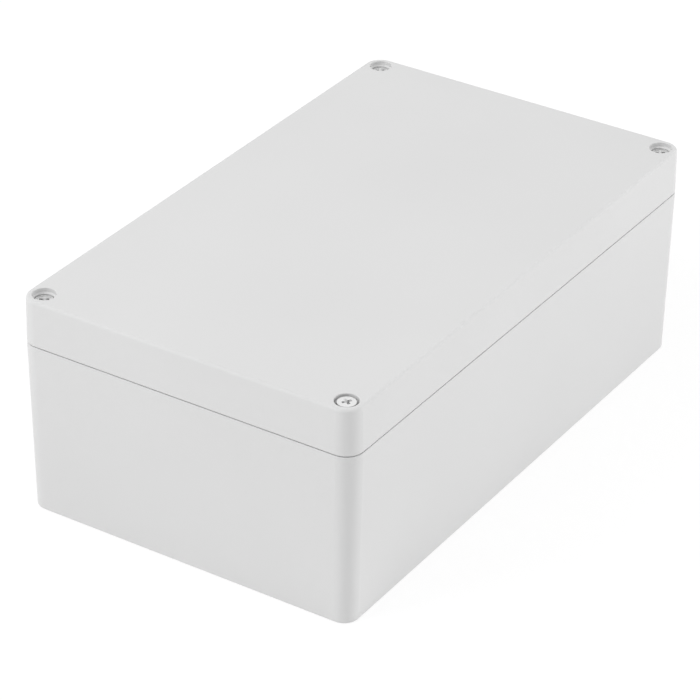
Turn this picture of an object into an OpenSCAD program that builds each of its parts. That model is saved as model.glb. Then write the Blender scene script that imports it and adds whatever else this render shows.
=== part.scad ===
// Cast aluminium enclosure with a screwed lid.
// The base and the lid are drafted shells. Tongue, groove and gasket run along one path
// that follows the walls and passes inside the four corner posts.
// The frame is +X along the length, +Y along the width and +Z up,
// with the origin under the middle of the floor.

/* [Outside] */
// Length over the rim
box_l = 200; // [140:1:300]
// Width over the rim
box_w = 120; // [90:1:200]
// Height with the lid closed
box_h = 75; // [50:1:140]
// Height of the lid's outside
lid_h = 15.6; // [12:0.1:30]
// Radius of the upright corners at the rim
corner_r = 6; // [4:0.5:10]
// Lean of the base's walls from the rim down to the foot
base_taper = 1; // [0:0.1:2]
// Lean of the lid's sides from the edge up to the top
lid_taper = 0.3; // [0:0.05:0.6]
// Radius along the lid's top edge
top_edge_r = 1; // [0.5:0.1:2.5]
// Radius along the base's bottom edge
foot_edge_r = 0.6; // [0.4:0.1:2]

/* [Shell] */
// Wall of the base at the rim
wall_t = 3; // [2.5:0.1:3.6]
// Floor of the base
floor_t = 3; // [2:0.1:5]
// Top plate of the lid
top_t = 3; // [2:0.1:4]
// Lean of the cavity's walls from the rim down to the floor
cavity_taper = 0.75; // [0:0.05:1]
// Lean of the lid's inner walls from the edge up to the plate
lid_cavity_taper = 0.2; // [0:0.05:0.4]
// Radius at the foot of the cavity's walls
floor_fillet_r = 1.5; // [0.5:0.1:2]
// Radius round the underside of the lid's plate
plate_fillet_r = 0.8; // [0.3:0.1:1]

/* [Seam and seal] */
// Open seam between the rim and the lid's edge
seam_gap = 0.35; // [0.1:0.05:0.6]
// Chamfer on both edges of the seam
seam_chamfer = 0.15; // [0.1:0.05:0.5]
// Thickness of the tongue on the rim
tongue_t = 1.4; // [1:0.1:1.8]
// Height of the tongue above the rim
tongue_h = 2; // [1:0.1:3]
// Chamfer on the tongue's top edges
tongue_chamfer = 0.3; // [0.1:0.05:0.4]
// Room on each side of the tongue in the lid's groove
tongue_clear = 0.3; // [0.2:0.05:0.4]
// Inner lip of the lid beside the groove
inner_lip_t = 1.4; // [1:0.1:1.5]
// Thickness of the gasket as compressed
gasket_t = 2; // [1:0.1:3]
// Room on each side of the gasket in the groove
gasket_clear = 0.05; // [0.02:0.01:0.15]

/* [Corner posts and screws] */
// Distance of each screw from the two outside faces
screw_inset = 5.8; // [5.5:0.1:8]
// Radius of the corner posts round the screws
post_r = 6; // [5:0.1:9]
// Diameter of the screws' thread
thread_d = 3; // [2.5:0.1:4]
// Length of the screws under the head
screw_l = 20; // [16:0.5:30]
// Diameter of the screws' heads
head_d = 6; // [5.5:0.1:7]
// Height of the screws' heads
head_h = 2.4; // [1.8:0.1:3]
// Rise of the heads' crown from its edge to its middle
head_crown = 0.1; // [0.05:0.05:0.6]
// Radius along the heads' upper edge
head_edge_r = 0.2; // [0.1:0.05:0.6]
// Width across the cross recess
recess_d = 3.2; // [2.4:0.1:3.6]
// Depth of the cross recess
recess_depth = 1.7; // [1:0.1:2]
// Width of the recess's arms
recess_arm = 0.95; // [0.5:0.05:1.2]
// Depth of the driven heads below the lid's top
head_sink = 1.8; // [0.5:0.05:3]
// How far the front left screw stands above its driven place
front_left_raise = 1.4; // [0:0.05:3]
// Room round the heads in the counterbores
head_clear = 0.25; // [0.2:0.05:0.6]
// Widening of the counterbores above their shoulders, on the radius
mouth_step = 0.5; // [0.1:0.05:0.6]
// Depth of the shoulders' upper edges below the lid's top
shoulder_depth = 1.35; // [0.4:0.05:1.6]
// Chamfer round the counterbores' mouths
mouth_chamfer = 0.15; // [0.1:0.05:0.5]
// Room round the screws in the lid
shank_clear = 0.2; // [0.1:0.05:0.4]
// Room round the screws in the posts
thread_clear = 0.05; // [0.02:0.01:0.1]
// Depth of the screw holes below the screws' tips
hole_spare = 3; // [1:0.5:6]
// Land left between a post's pad and the tongue
pad_land = 0.3; // [0.2:0.05:0.6]
// Turn of the front left screw's recess
turn_front_left = 58; // [0:1:90]
// Turn of the front right screw's recess
turn_front_right = 30; // [0:1:90]
// Turn of the rear left screw's recess
turn_rear_left = 33; // [0:1:90]
// Turn of the rear right screw's recess
turn_rear_right = 36; // [0:1:90]

/* [Floor bosses] */
// Distance between the bosses along the length
boss_pitch_x = 160; // [80:1:170]
// Distance between the bosses along the width
boss_pitch_y = 80; // [40:1:86]
// Diameter of the bosses at their top
boss_d = 8; // [6:0.1:10]
// Height of the bosses above the floor
boss_h = 6; // [3:0.5:15]
// Spread of the bosses towards their foot, on the radius
boss_taper = 0.3; // [0:0.05:0.6]
// Diameter of the tapped holes in the bosses
boss_hole_d = 3.3; // [2.5:0.1:4.2]
// Metal left under the tapped holes
boss_hole_floor = 1.6; // [1:0.1:3]

/* [Hidden] */
$fn = 64;
// Depth by which joined shapes run into each other
sink = 0.8;
// Length by which cuts run past a face
past = 1;
// Share of a cavity section's foot that the cavity's core runs into
core_lap = 0.05;
// Largest share of a section's foot that its radius takes
foot_share = 0.9;
// Length of the screws' tips, as a share of the thread's diameter
tip_share = 0.2;
// Facets of the circle that the heads' crown is a small piece of
crown_fn = 512;
rim_z = box_h - lid_h - seam_gap;
edge_z = box_h - lid_h;
// Places of the screws, from which the seal's path is laid out
axis_x = box_l / 2 - screw_inset;
axis_y = box_w / 2 - screw_inset;
// Distances outward from the line through the screws
wall_r = screw_inset - wall_t;
tongue_r = wall_r + tongue_t;
groove_in = wall_r - tongue_clear;
groove_out = tongue_r + tongue_clear;
lip_r = groove_in - inner_lip_t;
// Distance along a wall from a screw to where the wall begins to bend round its post
bend = post_r + wall_r;
groove_d = tongue_h - seam_gap + gasket_t;
pad_r = post_r - tongue_t - pad_land;
seat_z = box_h - head_sink - head_h;
tip_z = seat_z - screw_l;
cbore_d = head_d + 2 * head_clear;
mouth_d = cbore_d + 2 * mouth_step;
boss_z = floor_t + boss_h;
corners = [[1, 1, 0], [-1, 1, 90], [-1, -1, 180], [1, -1, 270]];

// Straight run of a profile along X, with the profile's x outward along Y and its y upward
module run(length) {
  rotate([90, 0, 90])
    linear_extrude(length, center = true)
      children();
}

// Quarter turn of a profile, from +X to +Y
module quarter() {
  rotate_extrude(angle = 90)
    children();
}

// Profile taken round a rounded rectangle, with its four corners turned about (x, y)
module around(x, y) {
  for (a = [0, 180]) {
    rotate(a) translate([0, y, 0]) run(2 * x) children();
    rotate(a - 90) translate([0, x, 0]) run(2 * y) children();
  }
  for (c = corners)
    translate([c[0] * x, c[1] * y, 0]) rotate(c[2]) quarter() children();
}

// Block with a rounded, drafted outline, between two heights
module block(x, y, z0, z1) {
  translate([-x, -y, z0]) cube([2 * x, 2 * y, z1 - z0]);
  around(x, y) children();
}

// Profile taken along the walls and round the inside of the posts
module along_seal() {
  for (a = [0, 180]) {
    rotate(a) translate([0, axis_y, 0]) run(2 * (axis_x - bend)) children();
    rotate(a - 90) translate([0, axis_x, 0]) run(2 * (axis_y - bend)) children();
  }
  for (c = corners) {
    translate([c[0] * (axis_x - bend), c[1] * axis_y, 0]) rotate(c[2]) quarter() children();
    translate([c[0] * axis_x, c[1] * (axis_y - bend), 0]) rotate(c[2]) quarter() children();
    translate([c[0] * axis_x, c[1] * axis_y, 0]) rotate(c[2] + 180)
      quarter() translate([bend, 0]) mirror([1, 0]) children();
  }
}

// Hollow inside the seal's path, between two heights, whose core runs into the profile by a lap
module hollow(z0, z1, lap) {
  difference() {
    translate([-axis_x - lap, -axis_y - lap, z0])
      cube([2 * (axis_x + lap), 2 * (axis_y + lap), z1 - z0]);
    at_screws() translate([0, 0, z0 - past]) cylinder(h = z1 - z0 + 2 * past, r = bend - lap);
  }
  along_seal() children();
}

// Half section with its upper outer corner at (r_top, z_top), leaning in to r_foot at z_foot,
// with a radius at the foot that the section's width limits
module leaning_section(r_foot, z_foot, r_top, z_top, foot_r) {
  radius = min(foot_r, foot_share * r_foot);
  lean = atan2(r_top - r_foot, z_top - z_foot);
  centre_r = r_foot + radius * (tan(lean) - 1 / cos(lean));
  polygon([
    [0, z_foot],
    [centre_r, z_foot],
    [centre_r + radius * cos(lean), z_foot + radius * (1 - sin(lean))],
    [r_top, z_top],
    [0, z_top]
  ]);
  translate([centre_r, z_foot]) intersection() {
    translate([0, radius]) circle(radius);
    square(radius);
  }
}

// Outer section of the base, from the corner's axis outward
module base_section() {
  difference() {
    leaning_section(corner_r - base_taper, 0, corner_r, rim_z, foot_edge_r);
    translate([corner_r, rim_z]) rotate(45)
      square(seam_chamfer * sqrt(2), center = true);
  }
}

// Outer section of the lid, turned over from its top
module lid_section() {
  translate([0, box_h]) mirror([0, 1]) difference() {
    leaning_section(corner_r - lid_taper, 0, corner_r, lid_h, top_edge_r);
    translate([corner_r, lid_h]) rotate(45)
      square(seam_chamfer * sqrt(2), center = true);
  }
}

// Section of the base's cavity, from the line through the screws outward
module cavity_section() {
  leaning_section(wall_r - cavity_taper, floor_t, wall_r, rim_z, floor_fillet_r);
  translate([0, rim_z - past]) square([wall_r, 2 * past]);
}

// Section of the lid's cavity
module lid_cavity_section() {
  translate([0, box_h]) mirror([0, 1]) {
    leaning_section(lip_r - lid_cavity_taper, top_t, lip_r, lid_h, plate_fillet_r);
    translate([0, lid_h - past]) square([lip_r, 2 * past]);
  }
}

module tongue_section() {
  top = rim_z + tongue_h;
  polygon([
    [wall_r, rim_z - sink],
    [tongue_r, rim_z - sink],
    [tongue_r, top - tongue_chamfer],
    [tongue_r - tongue_chamfer, top],
    [wall_r + tongue_chamfer, top],
    [wall_r, top - tongue_chamfer]
  ]);
}

module groove_section() {
  translate([groove_in, edge_z - past])
    square([groove_out - groove_in, groove_d + past]);
}

module gasket_section() {
  translate([groove_in + gasket_clear, edge_z + groove_d - gasket_t])
    square([groove_out - groove_in - 2 * gasket_clear, gasket_t]);
}

module at_screws() {
  for (c = corners)
    translate([c[0] * axis_x, c[1] * axis_y, 0]) children();
}

module at_bosses() {
  for (c = corners)
    translate([c[0] * boss_pitch_x / 2, c[1] * boss_pitch_y / 2, 0]) children();
}

module base() {
  color([0.86, 0.86, 0.86]) difference() {
    union() {
      difference() {
        block(box_l / 2 - corner_r, box_w / 2 - corner_r, 0, rim_z) base_section();
        hollow(floor_t, rim_z + past, core_lap * (wall_r - cavity_taper)) cavity_section();
      }
      along_seal() tongue_section();
      at_screws() translate([0, 0, rim_z - sink]) cylinder(h = seam_gap + sink, r = pad_r);
      at_bosses() translate([0, 0, floor_t - sink])
        cylinder(h = boss_h + sink, d1 = boss_d + 2 * boss_taper, d2 = boss_d);
    }
    at_screws() translate([0, 0, tip_z - hole_spare])
      cylinder(h = rim_z + seam_gap + past - tip_z + hole_spare, d = thread_d + 2 * thread_clear);
    at_bosses() translate([0, 0, boss_hole_floor])
      cylinder(h = boss_z + past - boss_hole_floor, d = boss_hole_d);
  }
}

module lid() {
  color([0.88, 0.88, 0.88]) difference() {
    block(box_l / 2 - corner_r, box_w / 2 - corner_r, edge_z, box_h) lid_section();
    hollow(edge_z - past, box_h - top_t, core_lap * (lip_r - lid_cavity_taper)) lid_cavity_section();
    along_seal() groove_section();
    at_screws() {
      translate([0, 0, edge_z - past]) cylinder(h = lid_h + 2 * past, d = thread_d + 2 * shank_clear);
      translate([0, 0, seat_z]) cylinder(h = box_h + past - seat_z, d = cbore_d);
      translate([0, 0, box_h - shoulder_depth - mouth_step])
        cylinder(h = mouth_step, d1 = cbore_d, d2 = mouth_d);
      translate([0, 0, box_h - shoulder_depth]) cylinder(h = shoulder_depth + past, d = mouth_d);
      translate([0, 0, box_h - mouth_chamfer])
        cylinder(h = mouth_chamfer + past, d1 = mouth_d, d2 = mouth_d + 2 * (mouth_chamfer + past));
    }
  }
}

module gasket() {
  color([0.16, 0.16, 0.17]) along_seal() gasket_section();
}

// Half section of a screw's head, seated at z = 0, with a low crown and a rounded upper edge
module head_section() {
  crown_r = (pow(head_d / 2, 2) + pow(head_crown, 2)) / (2 * head_crown);
  edge_x = head_d / 2 - head_edge_r;
  edge_h = head_h - crown_r + sqrt(pow(crown_r, 2) - pow(edge_x, 2)) - head_edge_r;
  square([head_d / 2, edge_h]);
  intersection() {
    square([edge_x, head_h]);
    translate([0, head_h - crown_r]) circle(crown_r, $fn = crown_fn);
  }
  translate([edge_x, edge_h]) intersection() {
    circle(head_edge_r);
    square(head_edge_r);
  }
}

// Pan head screw with its head's seat at z = 0
module screw() {
  tip = tip_share * thread_d;
  recess_lean = (recess_d - recess_arm) / recess_depth;
  difference() {
    union() {
      rotate_extrude() head_section();
      translate([0, 0, tip - screw_l]) cylinder(h = screw_l - tip + sink, d = thread_d);
      translate([0, 0, -screw_l]) cylinder(h = tip, d1 = thread_d - 2 * tip, d2 = thread_d);
    }
    intersection() {
      translate([0, 0, head_h - recess_depth])
        cylinder(h = recess_depth + past, d1 = recess_arm, d2 = recess_d + past * recess_lean);
      for (a = [0, 90])
        rotate(a) translate([-recess_d, -recess_arm / 2, 0]) cube([2 * recess_d, recess_arm, head_h + past]);
    }
  }
}

module lid_screw(x, y, raise, turn) {
  color([0.80, 0.80, 0.79]) translate([x * axis_x, y * axis_y, seat_z + raise]) rotate(turn) screw();
}

module lid_screw_front_left() {
  lid_screw(-1, -1, front_left_raise, turn_front_left);
}

module lid_screw_front_right() {
  lid_screw(1, -1, 0, turn_front_right);
}

module lid_screw_rear_left() {
  lid_screw(-1, 1, 0, turn_rear_left);
}

module lid_screw_rear_right() {
  lid_screw(1, 1, 0, turn_rear_right);
}

base();
lid();
gasket();
lid_screw_front_left();
lid_screw_front_right();
lid_screw_rear_left();
lid_screw_rear_right();
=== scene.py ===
import math
import bpy
import bmesh
from mathutils import Matrix, Vector


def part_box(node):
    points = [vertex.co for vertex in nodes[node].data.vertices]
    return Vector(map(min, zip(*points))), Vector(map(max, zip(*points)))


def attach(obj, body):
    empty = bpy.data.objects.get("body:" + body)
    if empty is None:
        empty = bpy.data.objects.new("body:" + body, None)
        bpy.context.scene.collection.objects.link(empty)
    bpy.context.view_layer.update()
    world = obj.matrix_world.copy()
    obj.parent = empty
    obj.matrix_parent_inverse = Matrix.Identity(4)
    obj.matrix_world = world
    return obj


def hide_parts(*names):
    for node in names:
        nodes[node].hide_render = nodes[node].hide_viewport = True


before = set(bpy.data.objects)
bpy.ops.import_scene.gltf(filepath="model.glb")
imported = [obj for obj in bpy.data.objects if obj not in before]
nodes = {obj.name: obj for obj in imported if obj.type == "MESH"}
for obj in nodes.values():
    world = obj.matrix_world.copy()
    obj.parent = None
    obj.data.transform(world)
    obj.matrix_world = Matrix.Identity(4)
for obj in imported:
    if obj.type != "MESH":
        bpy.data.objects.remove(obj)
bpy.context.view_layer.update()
scene = bpy.context.scene
mm = 0.001
origin, upAxis = (0, 0, 0), (0, 0, 1)
print("frame loaded:", ", ".join(sorted(nodes)))


def linear(hexColour):  # sRGB hex to the linear colour that the sockets take
    parts = [int(hexColour[i:i + 2], 16) / 255 for i in (1, 3, 5)]
    return [c / 12.92 if c <= 0.04045 else ((c + 0.055) / 1.055) ** 2.4 for c in parts] + [1.0]


# links: (input, node, output); a Mix node blends colours from 6 and 7 to 2, numbers from 2 and 3 to 0
def addNode(tree, kind, links=(), **settings):
    node = tree.nodes.new(kind)
    for name, value in settings.items():
        if name.startswith("in_"):
            key = name[3:]
            node.inputs[int(key) if key.isdigit() else key.replace("_", " ")].default_value = value
        else:
            setattr(node, name, value)
    for target, source, output in links:
        tree.links.new(source.outputs[output], node.inputs[target])
    return node


def newMaterial(name):
    material = bpy.data.materials.new(name)
    material.use_nodes = True
    tree = material.node_tree
    return material, tree, tree.nodes["Principled BSDF"]


# Coated castings: a satin light grey powder coat outside, bare die cast aluminium inside
casting = {
    "coatColour": "#E0E0E0",
    "coatShade": "#DBDBDB",  # faint drift of the coat's thickness
    "coatRoughness": 0.55,
    "coatGloss": 0.3,
    "driftSize": 60 * mm,
    "driftDetail": 2.0,
    "peelSize": 0.9 * mm,  # orange peel of a powder coat
    "peelDetail": 1.0,
    "bareColour": "#D2D3D5",
    "bareShade": "#BFC0C3",
    "bareRoughness": 0.5,
    "grainSize": 1.6 * mm,  # flow marks left by the die
    "grainDetail": 4.0,
    "grainBreakup": 0.6,
    "bumpStrength": 0.05,
    "bumpDepth": 0.05 * mm,
    "cornerCentre": (94 * mm, 54 * mm),
    "outerSkin": 4.85 * mm,  # distance from the corner's centre line past which the coat lies
    "screwPlace": (94.2 * mm, 54.2 * mm),
    "mouthRadius": 4.2 * mm,
    # heights past which the ends are coated too; a metre up or down is out of the box's reach
    "base": {"coatAbove": 1.0, "coatBelow": 1.0 * mm, "mouthsAbove": None},
    "lid": {"coatAbove": 73.5 * mm, "coatBelow": -1.0, "mouthsAbove": 69.0 * mm},
}


def coatedCasting(name, zone):
    # powder coat: an even satin grey with a barely wavy gleam; bare casting: dull mottled metal
    c = casting
    material, tree, shader = newMaterial(name)
    place = addNode(tree, "ShaderNodeTexCoord")
    # the sides: how far a point lies out from the box's inner rectangle
    sides = addNode(tree, "ShaderNodeVectorMath", [(0, place, "Object")], operation="ABSOLUTE")
    flat = addNode(tree, "ShaderNodeVectorMath", [(0, sides, 0)], operation="MULTIPLY", in_1=(1, 1, 0))
    past = addNode(tree, "ShaderNodeVectorMath", [(0, flat, 0)],
                   operation="SUBTRACT", in_1=(*c["cornerCentre"], 0))
    held = addNode(tree, "ShaderNodeVectorMath", [(0, past, 0)], operation="MAXIMUM", in_1=(0, 0, 0))
    reach = addNode(tree, "ShaderNodeVectorMath", [(0, held, 0)], operation="LENGTH")
    skin = addNode(tree, "ShaderNodeMath", [(0, reach, "Value")],
                   operation="GREATER_THAN", in_1=c["outerSkin"])
    # the lid's top and the base's underside
    height = addNode(tree, "ShaderNodeSeparateXYZ", [(0, place, "Object")])
    upper = addNode(tree, "ShaderNodeMath", [(0, height, "Z")],
                    operation="GREATER_THAN", in_1=zone["coatAbove"])
    lower = addNode(tree, "ShaderNodeMath", [(0, height, "Z")],
                    operation="LESS_THAN", in_1=zone["coatBelow"])
    ends = addNode(tree, "ShaderNodeMath", [(0, upper, 0), (1, lower, 0)], operation="MAXIMUM")
    coat = addNode(tree, "ShaderNodeMath", [(0, skin, 0), (1, ends, 0)], operation="MAXIMUM")
    if zone["mouthsAbove"]:  # the counterbores are coated down to the screws' seats
        fromScrew = addNode(tree, "ShaderNodeVectorMath", [(0, flat, 0)],
                            operation="DISTANCE", in_1=(*c["screwPlace"], 0))
        near = addNode(tree, "ShaderNodeMath", [(0, fromScrew, "Value")],
                       operation="LESS_THAN", in_1=c["mouthRadius"])
        high = addNode(tree, "ShaderNodeMath", [(0, height, "Z")],
                       operation="GREATER_THAN", in_1=zone["mouthsAbove"])
        mouth = addNode(tree, "ShaderNodeMath", [(0, near, 0), (1, high, 0)], operation="MULTIPLY")
        coat = addNode(tree, "ShaderNodeMath", [(0, coat, 0), (1, mouth, 0)], operation="MAXIMUM")
    drift = addNode(tree, "ShaderNodeTexNoise", [("Vector", place, "Object")],
                    in_Scale=1 / c["driftSize"], in_Detail=c["driftDetail"])
    coatTint = addNode(tree, "ShaderNodeMix", [("Factor", drift, 0)], data_type="RGBA",
                       in_6=linear(c["coatColour"]), in_7=linear(c["coatShade"]))
    grain = addNode(tree, "ShaderNodeTexNoise", [("Vector", place, "Object")],
                    in_Scale=1 / c["grainSize"], in_Detail=c["grainDetail"],
                    in_Roughness=c["grainBreakup"])
    bareTint = addNode(tree, "ShaderNodeMix", [("Factor", grain, 0)], data_type="RGBA",
                       in_6=linear(c["bareShade"]), in_7=linear(c["bareColour"]))
    tint = addNode(tree, "ShaderNodeMix", [("Factor", coat, 0), (6, bareTint, 2), (7, coatTint, 2)],
                   data_type="RGBA")
    peel = addNode(tree, "ShaderNodeTexNoise", [("Vector", place, "Object")],
                   in_Scale=1 / c["peelSize"], in_Detail=c["peelDetail"])
    rough = addNode(tree, "ShaderNodeMapRange", [("Value", coat, 0)],
                    in_To_Min=c["bareRoughness"], in_To_Max=c["coatRoughness"])
    wave = addNode(tree, "ShaderNodeMix", [("Factor", coat, 0), (2, grain, 0), (3, peel, 0)],
                   data_type="FLOAT")
    bump = addNode(tree, "ShaderNodeBump", [("Height", wave, 0)],
                   in_Strength=c["bumpStrength"], in_Distance=c["bumpDepth"])
    metal = addNode(tree, "ShaderNodeMath", [(1, coat, 0)], operation="SUBTRACT", in_0=1.0)
    tree.links.new(tint.outputs[2], shader.inputs["Base Color"])
    tree.links.new(metal.outputs[0], shader.inputs["Metallic"])
    tree.links.new(rough.outputs[0], shader.inputs["Roughness"])
    tree.links.new(bump.outputs[0], shader.inputs["Normal"])
    shader.inputs["Specular IOR Level"].default_value = c["coatGloss"]
    return material


baseCoat = coatedCasting("powder_coated_die_cast_aluminium_base", casting["base"])
lidCoat = coatedCasting("powder_coated_die_cast_aluminium_lid", casting["lid"])
print("casting finishes made")


# Black sponge rubber cord: dull, with fine closed cells that break up the sheen
seal = {
    "colour": "#1B1B1C",
    "dusty": "#2B2B2D",
    "roughness": 0.75,
    "cellSize": 0.35 * mm,
    "cellStrength": 0.25,
    "cellDepth": 0.05 * mm,
    "dustSize": 6 * mm,
    "dustDetail": 3.0,
}


def sealRubber():
    material, tree, shader = newMaterial("moulded_black_neoprene")
    place = addNode(tree, "ShaderNodeTexCoord")
    cells = addNode(tree, "ShaderNodeTexVoronoi", [("Vector", place, "Object")],
                    in_Scale=1 / seal["cellSize"])
    dust = addNode(tree, "ShaderNodeTexNoise", [("Vector", place, "Object")],
                   in_Scale=1 / seal["dustSize"], in_Detail=seal["dustDetail"])
    tint = addNode(tree, "ShaderNodeMix", [("Factor", dust, 0)], data_type="RGBA",
                   in_6=linear(seal["colour"]), in_7=linear(seal["dusty"]))
    bump = addNode(tree, "ShaderNodeBump", [("Height", cells, 0)],
                   in_Strength=seal["cellStrength"], in_Distance=seal["cellDepth"])
    tree.links.new(tint.outputs[2], shader.inputs["Base Color"])
    tree.links.new(bump.outputs[0], shader.inputs["Normal"])
    shader.inputs["Roughness"].default_value = seal["roughness"]
    return material


# Stainless steel screws: a fine tumbled grain; the crown and the recess carry a painted highlight, lighter
# than the greyer steel of the sides and the thread
screwMetal = {
    # bright: the steel painted lighter as a highlight on the crown and recess; dull: the steel's own tone
    "bright": ("#E4E4E4", "#F0F0F0"),
    "dull": ("#B8B8B8", "#C8C8C8"),
    "roughness": (0.3, 0.4),
    "tumbleSize": 0.25 * mm,
    "tumbleDetail": 3.0,
    "tumbleStrength": 0.1,
    "tumbleDepth": 0.01 * mm,
}


def screwSteel():
    m = screwMetal
    material, tree, shader = newMaterial("cold_headed_stainless_steel")
    place = addNode(tree, "ShaderNodeTexCoord")
    tumble = addNode(tree, "ShaderNodeTexNoise", [("Vector", place, "Object")],
                     in_Scale=1 / m["tumbleSize"], in_Detail=m["tumbleDetail"])
    # painted highlight: a mask that paints the crown and the recess lighter than the rest of the screw
    paintedHighlight = addNode(tree, "ShaderNodeAttribute", attribute_name="paintedHighlight")
    bright, dull = (addNode(tree, "ShaderNodeMix", [("Factor", tumble, 0)], data_type="RGBA",
                            in_6=linear(m[k][0]), in_7=linear(m[k][1])) for k in ("bright", "dull"))
    tint = addNode(tree, "ShaderNodeMix", [("Factor", paintedHighlight, "Fac"), (6, dull, 2), (7, bright, 2)],
                   data_type="RGBA")
    rough = addNode(tree, "ShaderNodeMapRange", [("Value", tumble, 0)],
                    in_To_Min=m["roughness"][0], in_To_Max=m["roughness"][1])
    bump = addNode(tree, "ShaderNodeBump", [("Height", tumble, 0)],
                   in_Strength=m["tumbleStrength"], in_Distance=m["tumbleDepth"])
    tree.links.new(tint.outputs[2], shader.inputs["Base Color"])
    tree.links.new(rough.outputs[0], shader.inputs["Roughness"])
    tree.links.new(bump.outputs[0], shader.inputs["Normal"])
    shader.inputs["Metallic"].default_value = 1.0
    return material


for name, material in {"base": baseCoat, "lid": lidCoat, "gasket": sealRubber()}.items():
    nodes[name].data.materials.clear()
    nodes[name].data.materials.append(material)
steel = screwSteel()
print("seal and steel finishes made")


def meshObject(name, bm, material):
    mesh = bpy.data.meshes.new(name)
    bm.to_mesh(mesh)
    bm.free()
    piece = bpy.data.objects.new(name, mesh)
    scene.collection.objects.link(piece)
    mesh.materials.append(material)
    return piece


def turnAbout(bm, verts, degrees):
    turn = Matrix.Rotation(math.radians(degrees), 3, "Z")
    bmesh.ops.rotate(bm, verts=verts, cent=origin, matrix=turn)


# Pan head machine screws, M3 with a 0.5 mm pitch
lidScrew = {
    "headRadius": 3.0 * mm,
    "headHeight": 2.4 * mm,
    "crown": 0.1 * mm,
    "edgeRadius": 0.2 * mm,
    "rimBevel": 0.15 * mm,  # where the head's side meets its underside
    "underHead": 20 * mm,
    "seatGap": 0.02 * mm,  # keeps the head's underside just off the counterbore's floor
    "neckFlare": 0.1 * mm,
    "neckDrop": 0.15 * mm,  # height of the flare under the head
    "neckSlack": 0.05 * mm,  # the plain neck is this much slimmer than the thread
    "plainNeck": 1.0 * mm,
    "runOut": 0.3 * mm,  # from the neck down to the thread's root
    "tipLength": 0.7 * mm,
    "tipTaper": 0.5 * mm,
    "rootRadius": 1.2 * mm,
    "crestRadius": 1.5 * mm,
    "pitch": 0.5 * mm,
    "threadStart": 0.8 * mm,  # above the tip
    "threadRoom": 1.3 * mm,  # shank that the ridge leaves free at its two ends
    "ridgeSunk": 0.06 * mm,  # the ridge's foot lies this deep in the shank
    "ridgeFoot": 0.86,  # shares of half a pitch
    "ridgeCrest": 0.14,
    "recessReach": 1.6 * mm,
    "recessArm": 0.95 * mm,
    "recessDepth": 1.7 * mm,
    "footReach": 0.45,  # shares of the recess's reach and arm that are left at its foot
    "footArm": 0.85,
    "coneFoot": 0.3,  # radii of the cone between the arms, as shares of the arm
    "coneCrest": 1.2,
    "highlightAbove": 0.5 * mm,  # the part of the head painted lighter as a highlight, from its seat and its axis
    "highlightWithin": 2.9 * mm,
    "crownSteps": 6,
    "edgeSteps": 6,
    "headSteps": 48,
    "coneSteps": 24,
    "coneTurn": 7.5,  # half a step, so that no edge of the cone lies on an arm's side
    "turnSteps": 24,
    "smoothBelow": 32,  # degrees
    "turns": {"front_left": 58, "front_right": 30, "rear_left": 33, "rear_right": 36},
}


def screwOutline():
    s = lidScrew
    # the head: a low crown, a rounded edge, the side and the seat
    crownRadius = (s["headRadius"] ** 2 + s["crown"] ** 2) / (2 * s["crown"])
    edge = s["headRadius"] - s["edgeRadius"]
    reach = math.asin(edge / crownRadius)
    tilts = [reach * i / s["crownSteps"] for i in range(s["crownSteps"] + 1)]
    points = [(crownRadius * math.sin(t), s["headHeight"] - crownRadius * (1 - math.cos(t))) for t in tilts]
    edgeHeight = points[-1][1] - s["edgeRadius"]
    bends = [math.radians(90 * i / s["edgeSteps"]) for i in range(1, s["edgeSteps"] + 1)]
    points += [(edge + s["edgeRadius"] * math.sin(t), edgeHeight + s["edgeRadius"] * math.cos(t))
               for t in bends]
    points += [
        (s["headRadius"], s["rimBevel"]),
        (s["headRadius"] - s["rimBevel"], s["seatGap"]),
        (s["crestRadius"] + s["neckFlare"], s["seatGap"]),
    ]
    # the shank: a plain neck, the thread's root and the tip
    neck = s["crestRadius"] - s["neckSlack"]
    return points + [
        (neck, -s["neckDrop"]),
        (neck, -s["plainNeck"]),
        (s["rootRadius"], -s["plainNeck"] - s["runOut"]),
        (s["rootRadius"], -s["underHead"] + s["tipLength"]),
        (s["rootRadius"] - s["tipTaper"], -s["underHead"]),
        (0, -s["underHead"]),
    ]


def revolve(bm, points, steps):
    verts = [bm.verts.new((r, 0, z)) for r, z in points]
    edges = [bm.edges.new(pair) for pair in zip(verts, verts[1:])]
    bmesh.ops.spin(bm, geom=verts + edges, cent=origin, axis=upAxis,
                   angle=math.tau, steps=steps, use_merge=True)
    bmesh.ops.remove_doubles(bm, verts=bm.verts, dist=1e-7)


def recessCutter():
    s = lidScrew
    bm = bmesh.new()
    for turn in (0, 90):
        arm = bmesh.ops.create_cube(bm, size=1)["verts"]
        bmesh.ops.scale(bm, verts=arm, vec=(2 * s["recessReach"], s["recessArm"], 2 * s["recessDepth"]))
        # the arms narrow towards their foot, and go on widening above the head
        foot = [v for v in arm if v.co.z < 0]
        crest = [v for v in arm if v.co.z > 0]
        bmesh.ops.scale(bm, verts=foot, vec=(s["footReach"], s["footArm"], 1))
        bmesh.ops.scale(bm, verts=crest, vec=(2 - s["footReach"], 2 - s["footArm"], 1))
        turnAbout(bm, arm, turn)
    cone = bmesh.ops.create_cone(bm, cap_ends=True, segments=s["coneSteps"], depth=2 * s["recessDepth"],
                                 radius1=s["coneFoot"] * s["recessArm"],
                                 radius2=s["coneCrest"] * s["recessArm"])["verts"]
    turnAbout(bm, cone, s["coneTurn"])
    bmesh.ops.translate(bm, verts=bm.verts, vec=(0, 0, s["headHeight"]))
    return meshObject("recess_cutter", bm, steel)


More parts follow.
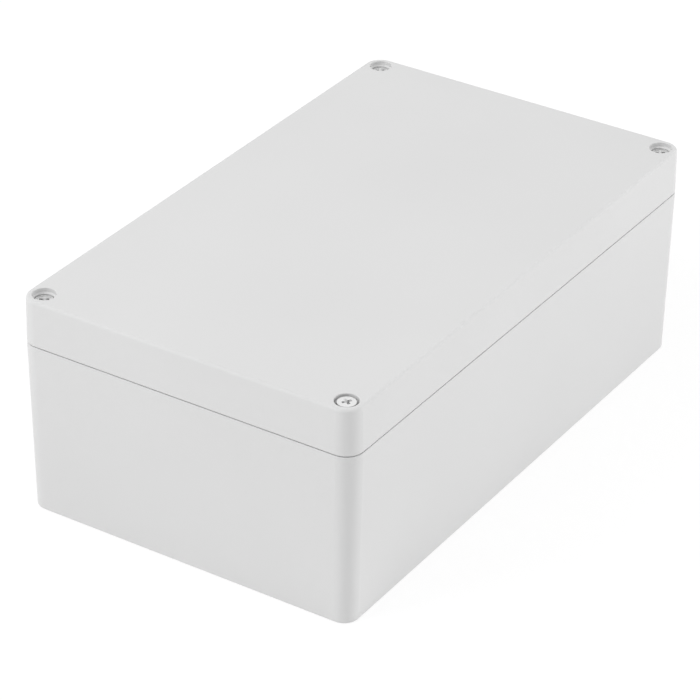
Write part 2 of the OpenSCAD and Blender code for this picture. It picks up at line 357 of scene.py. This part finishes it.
def windThread(bm):  # a ridge wound up the shank, closed at both ends
    s = lidScrew
    turns = int((s["underHead"] - s["plainNeck"] - s["threadRoom"]) / s["pitch"])
    half = s["pitch"] / 2
    sunk = s["rootRadius"] - s["ridgeSunk"]
    section = [
        (sunk, -half * s["ridgeFoot"]),
        (s["crestRadius"], -half * s["ridgeCrest"]),
        (s["crestRadius"], half * s["ridgeCrest"]),
        (sunk, half * s["ridgeFoot"]),
    ]
    ridge = [bm.verts.new((r, 0, z - s["underHead"] + s["threadStart"])) for r, z in section]
    start = bm.faces.new(ridge)
    bmesh.ops.spin(bm, geom=[start], cent=origin, axis=upAxis, dvec=(0, 0, s["pitch"] / s["turnSteps"]),
                   angle=math.tau * turns, steps=turns * s["turnSteps"])
    bmesh.ops.recalc_face_normals(bm, faces=bm.faces)


def makeScrew(place, node, body):
    s = lidScrew
    lo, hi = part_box(node)
    seat = lo.z + s["underHead"]
    bm = bmesh.new()
    revolve(bm, screwOutline(), s["headSteps"])
    bmesh.ops.recalc_face_normals(bm, faces=bm.faces)
    piece = meshObject("screw_" + place, bm, steel)
    cutter = recessCutter()
    cut = piece.modifiers.new("recess", "BOOLEAN")
    cut.object = cutter
    cut.operation = "DIFFERENCE"
    cut.solver = "EXACT"
    cut.use_self = True
    shaped = bpy.data.meshes.new_from_object(piece.evaluated_get(bpy.context.evaluated_depsgraph_get()))
    piece.modifiers.clear()
    bpy.data.objects.remove(cutter)
    bm = bmesh.new()
    bm.from_mesh(shaped)
    windThread(bm)
    # painted highlight mask: the head above its seat and within its rounded edge is painted lighter
    paintedHighlight = bm.verts.layers.float.new("paintedHighlight")
    for v in bm.verts:
        v[paintedHighlight] = float(v.co.z > s["highlightAbove"] and v.co.xy.length < s["highlightWithin"])
    turnAbout(bm, bm.verts, s["turns"][place])
    bmesh.ops.translate(bm, verts=bm.verts, vec=((lo.x + hi.x) / 2, (lo.y + hi.y) / 2, seat))
    mesh = piece.data
    bm.to_mesh(mesh)
    bm.free()
    mesh.polygons.foreach_set("use_smooth", [True] * len(mesh.polygons))
    mesh.set_sharp_from_angle(angle=math.radians(s["smoothBelow"]))
    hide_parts(node)
    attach(piece, body)
    return piece


for place in lidScrew["turns"]:
    screw = makeScrew(place, "lid_screw_" + place, "screw_" + place)
    print(screw.name, len(screw.data.polygons), "faces")


def seenRays(tree):  # 1 for what the camera sees, straight or by way of metal and glass
    rays = addNode(tree, "ShaderNodeLightPath")
    direct = addNode(tree, "ShaderNodeMath", [(0, rays, "Is Camera Ray"), (1, rays, "Is Glossy Ray")],
                     operation="MAXIMUM")
    return addNode(tree, "ShaderNodeMath", [(0, direct, 0), (1, rays, "Is Transmission Ray")],
                   operation="MAXIMUM")


# Floor: matte white paper, which shows white to the camera and keeps the box's shadow
stand = {
    "size": 6.0,
    "paperColour": "#F2F2F2",
    "shadedColour": "#7F7F7F",  # takes the shadow where the floor is seen
    "glow": 0.82,  # lifts the open floor to white there
}
bm = bmesh.new()
bmesh.ops.create_grid(bm, x_segments=1, y_segments=1, size=stand["size"] / 2)
floorMaterial, tree, shader = newMaterial("matte_white_paper_floor")
tree.nodes.remove(shader)
paper = addNode(tree, "ShaderNodeBsdfDiffuse", in_Color=linear(stand["paperColour"]))
shaded = addNode(tree, "ShaderNodeBsdfDiffuse", in_Color=linear(stand["shadedColour"]))
glow = addNode(tree, "ShaderNodeEmission", in_Strength=stand["glow"])
shown = addNode(tree, "ShaderNodeAddShader", [(0, shaded, 0), (1, glow, 0)])
mixed = addNode(tree, "ShaderNodeMixShader", [(0, seenRays(tree), 0), (1, paper, 0), (2, shown, 0)])
tree.links.new(mixed.outputs[0], tree.nodes["Material Output"].inputs["Surface"])
floor = meshObject("floor", bm, floorMaterial)

# World: white where it is seen, softer where it lights
sky = {"colour": "#FFFFFF", "light": 0.627, "seen": 1.0}
world = bpy.data.worlds.new("studio")
scene.world = world
world.use_nodes = True
tree = world.node_tree
air = tree.nodes["Background"]
air.inputs["Color"].default_value = linear(sky["colour"])
air.inputs["Strength"].default_value = sky["light"]
white = addNode(tree, "ShaderNodeBackground", in_Color=linear(sky["colour"]), in_Strength=sky["seen"])
mixed = addNode(tree, "ShaderNodeMixShader", [(0, seenRays(tree), 0), (1, air, 0), (2, white, 0)])
tree.links.new(mixed.outputs[0], tree.nodes["World Output"].inputs["Surface"])

# Lamps: soft square panels round the box, (bearing from +X, height angle, watts)
lamps = {
    "panelLeft": (140, 40, 10.15),
    "panelRight": (310, 12, 10.67),
    "panelTop": (0, 90, 1.9),
}
lampReach = {"size": 0.9, "distance": 1.6, "aim": Vector((0, 0, 0.04))}
for name, (bearing, rise, watts) in lamps.items():
    data = bpy.data.lights.new(name, "AREA")
    data.shape = "SQUARE"
    data.size, data.energy = lampReach["size"], watts
    lamp = bpy.data.objects.new(name, data)
    scene.collection.objects.link(lamp)
    lamp.visible_glossy = False  # gleams come from the white surroundings, so that pale faces don't clip
    turn, lift = math.radians(bearing), math.radians(rise)
    towards = Vector((math.cos(turn) * math.cos(lift), math.sin(turn) * math.cos(lift), math.sin(lift)))
    lamp.location = lampReach["aim"] + towards * lampReach["distance"]
    lamp.rotation_euler = (-towards).to_track_quat("-Z", "Y").to_euler()
print("stage and lamps set")

# Camera: the photograph's viewing angle, in a 700 x 700 frame
shot = {
    "azimuth": -57.4369,
    "elevation": 30.9422,
    "roll": 0.703,
    "distance": 1.049344,
    "aim": (-0.003998, 0.00251, 0.027792),
    "focalPixels": 3274.76,
    "framePixels": 700,
    "sensorWidth": 36,
}
azimuth, elevation, roll = (math.radians(shot[k]) for k in ("azimuth", "elevation", "roll"))
level = math.cos(elevation)
back = Vector((math.sin(azimuth) * level, -math.cos(azimuth) * level, math.sin(elevation)))
across = (-back).cross(Vector(upAxis)).normalized()
upward = across.cross(-back)
rolledAcross = math.cos(roll) * across + math.sin(roll) * upward
rolledUpward = math.cos(roll) * upward - math.sin(roll) * across
eye = Vector(shot["aim"]) + back * shot["distance"]
cameraData = bpy.data.cameras.new("camera")
cameraData.sensor_width = shot["sensorWidth"]
cameraData.lens = shot["focalPixels"] / shot["framePixels"] * cameraData.sensor_width
camera = bpy.data.objects.new("camera", cameraData)
scene.collection.objects.link(camera)
turned = Matrix((rolledAcross, rolledUpward, back)).transposed().to_4x4()
camera.matrix_world = Matrix.Translation(eye) @ turned
scene.camera = camera
scene.view_settings.view_transform = "Standard"
print("camera set")
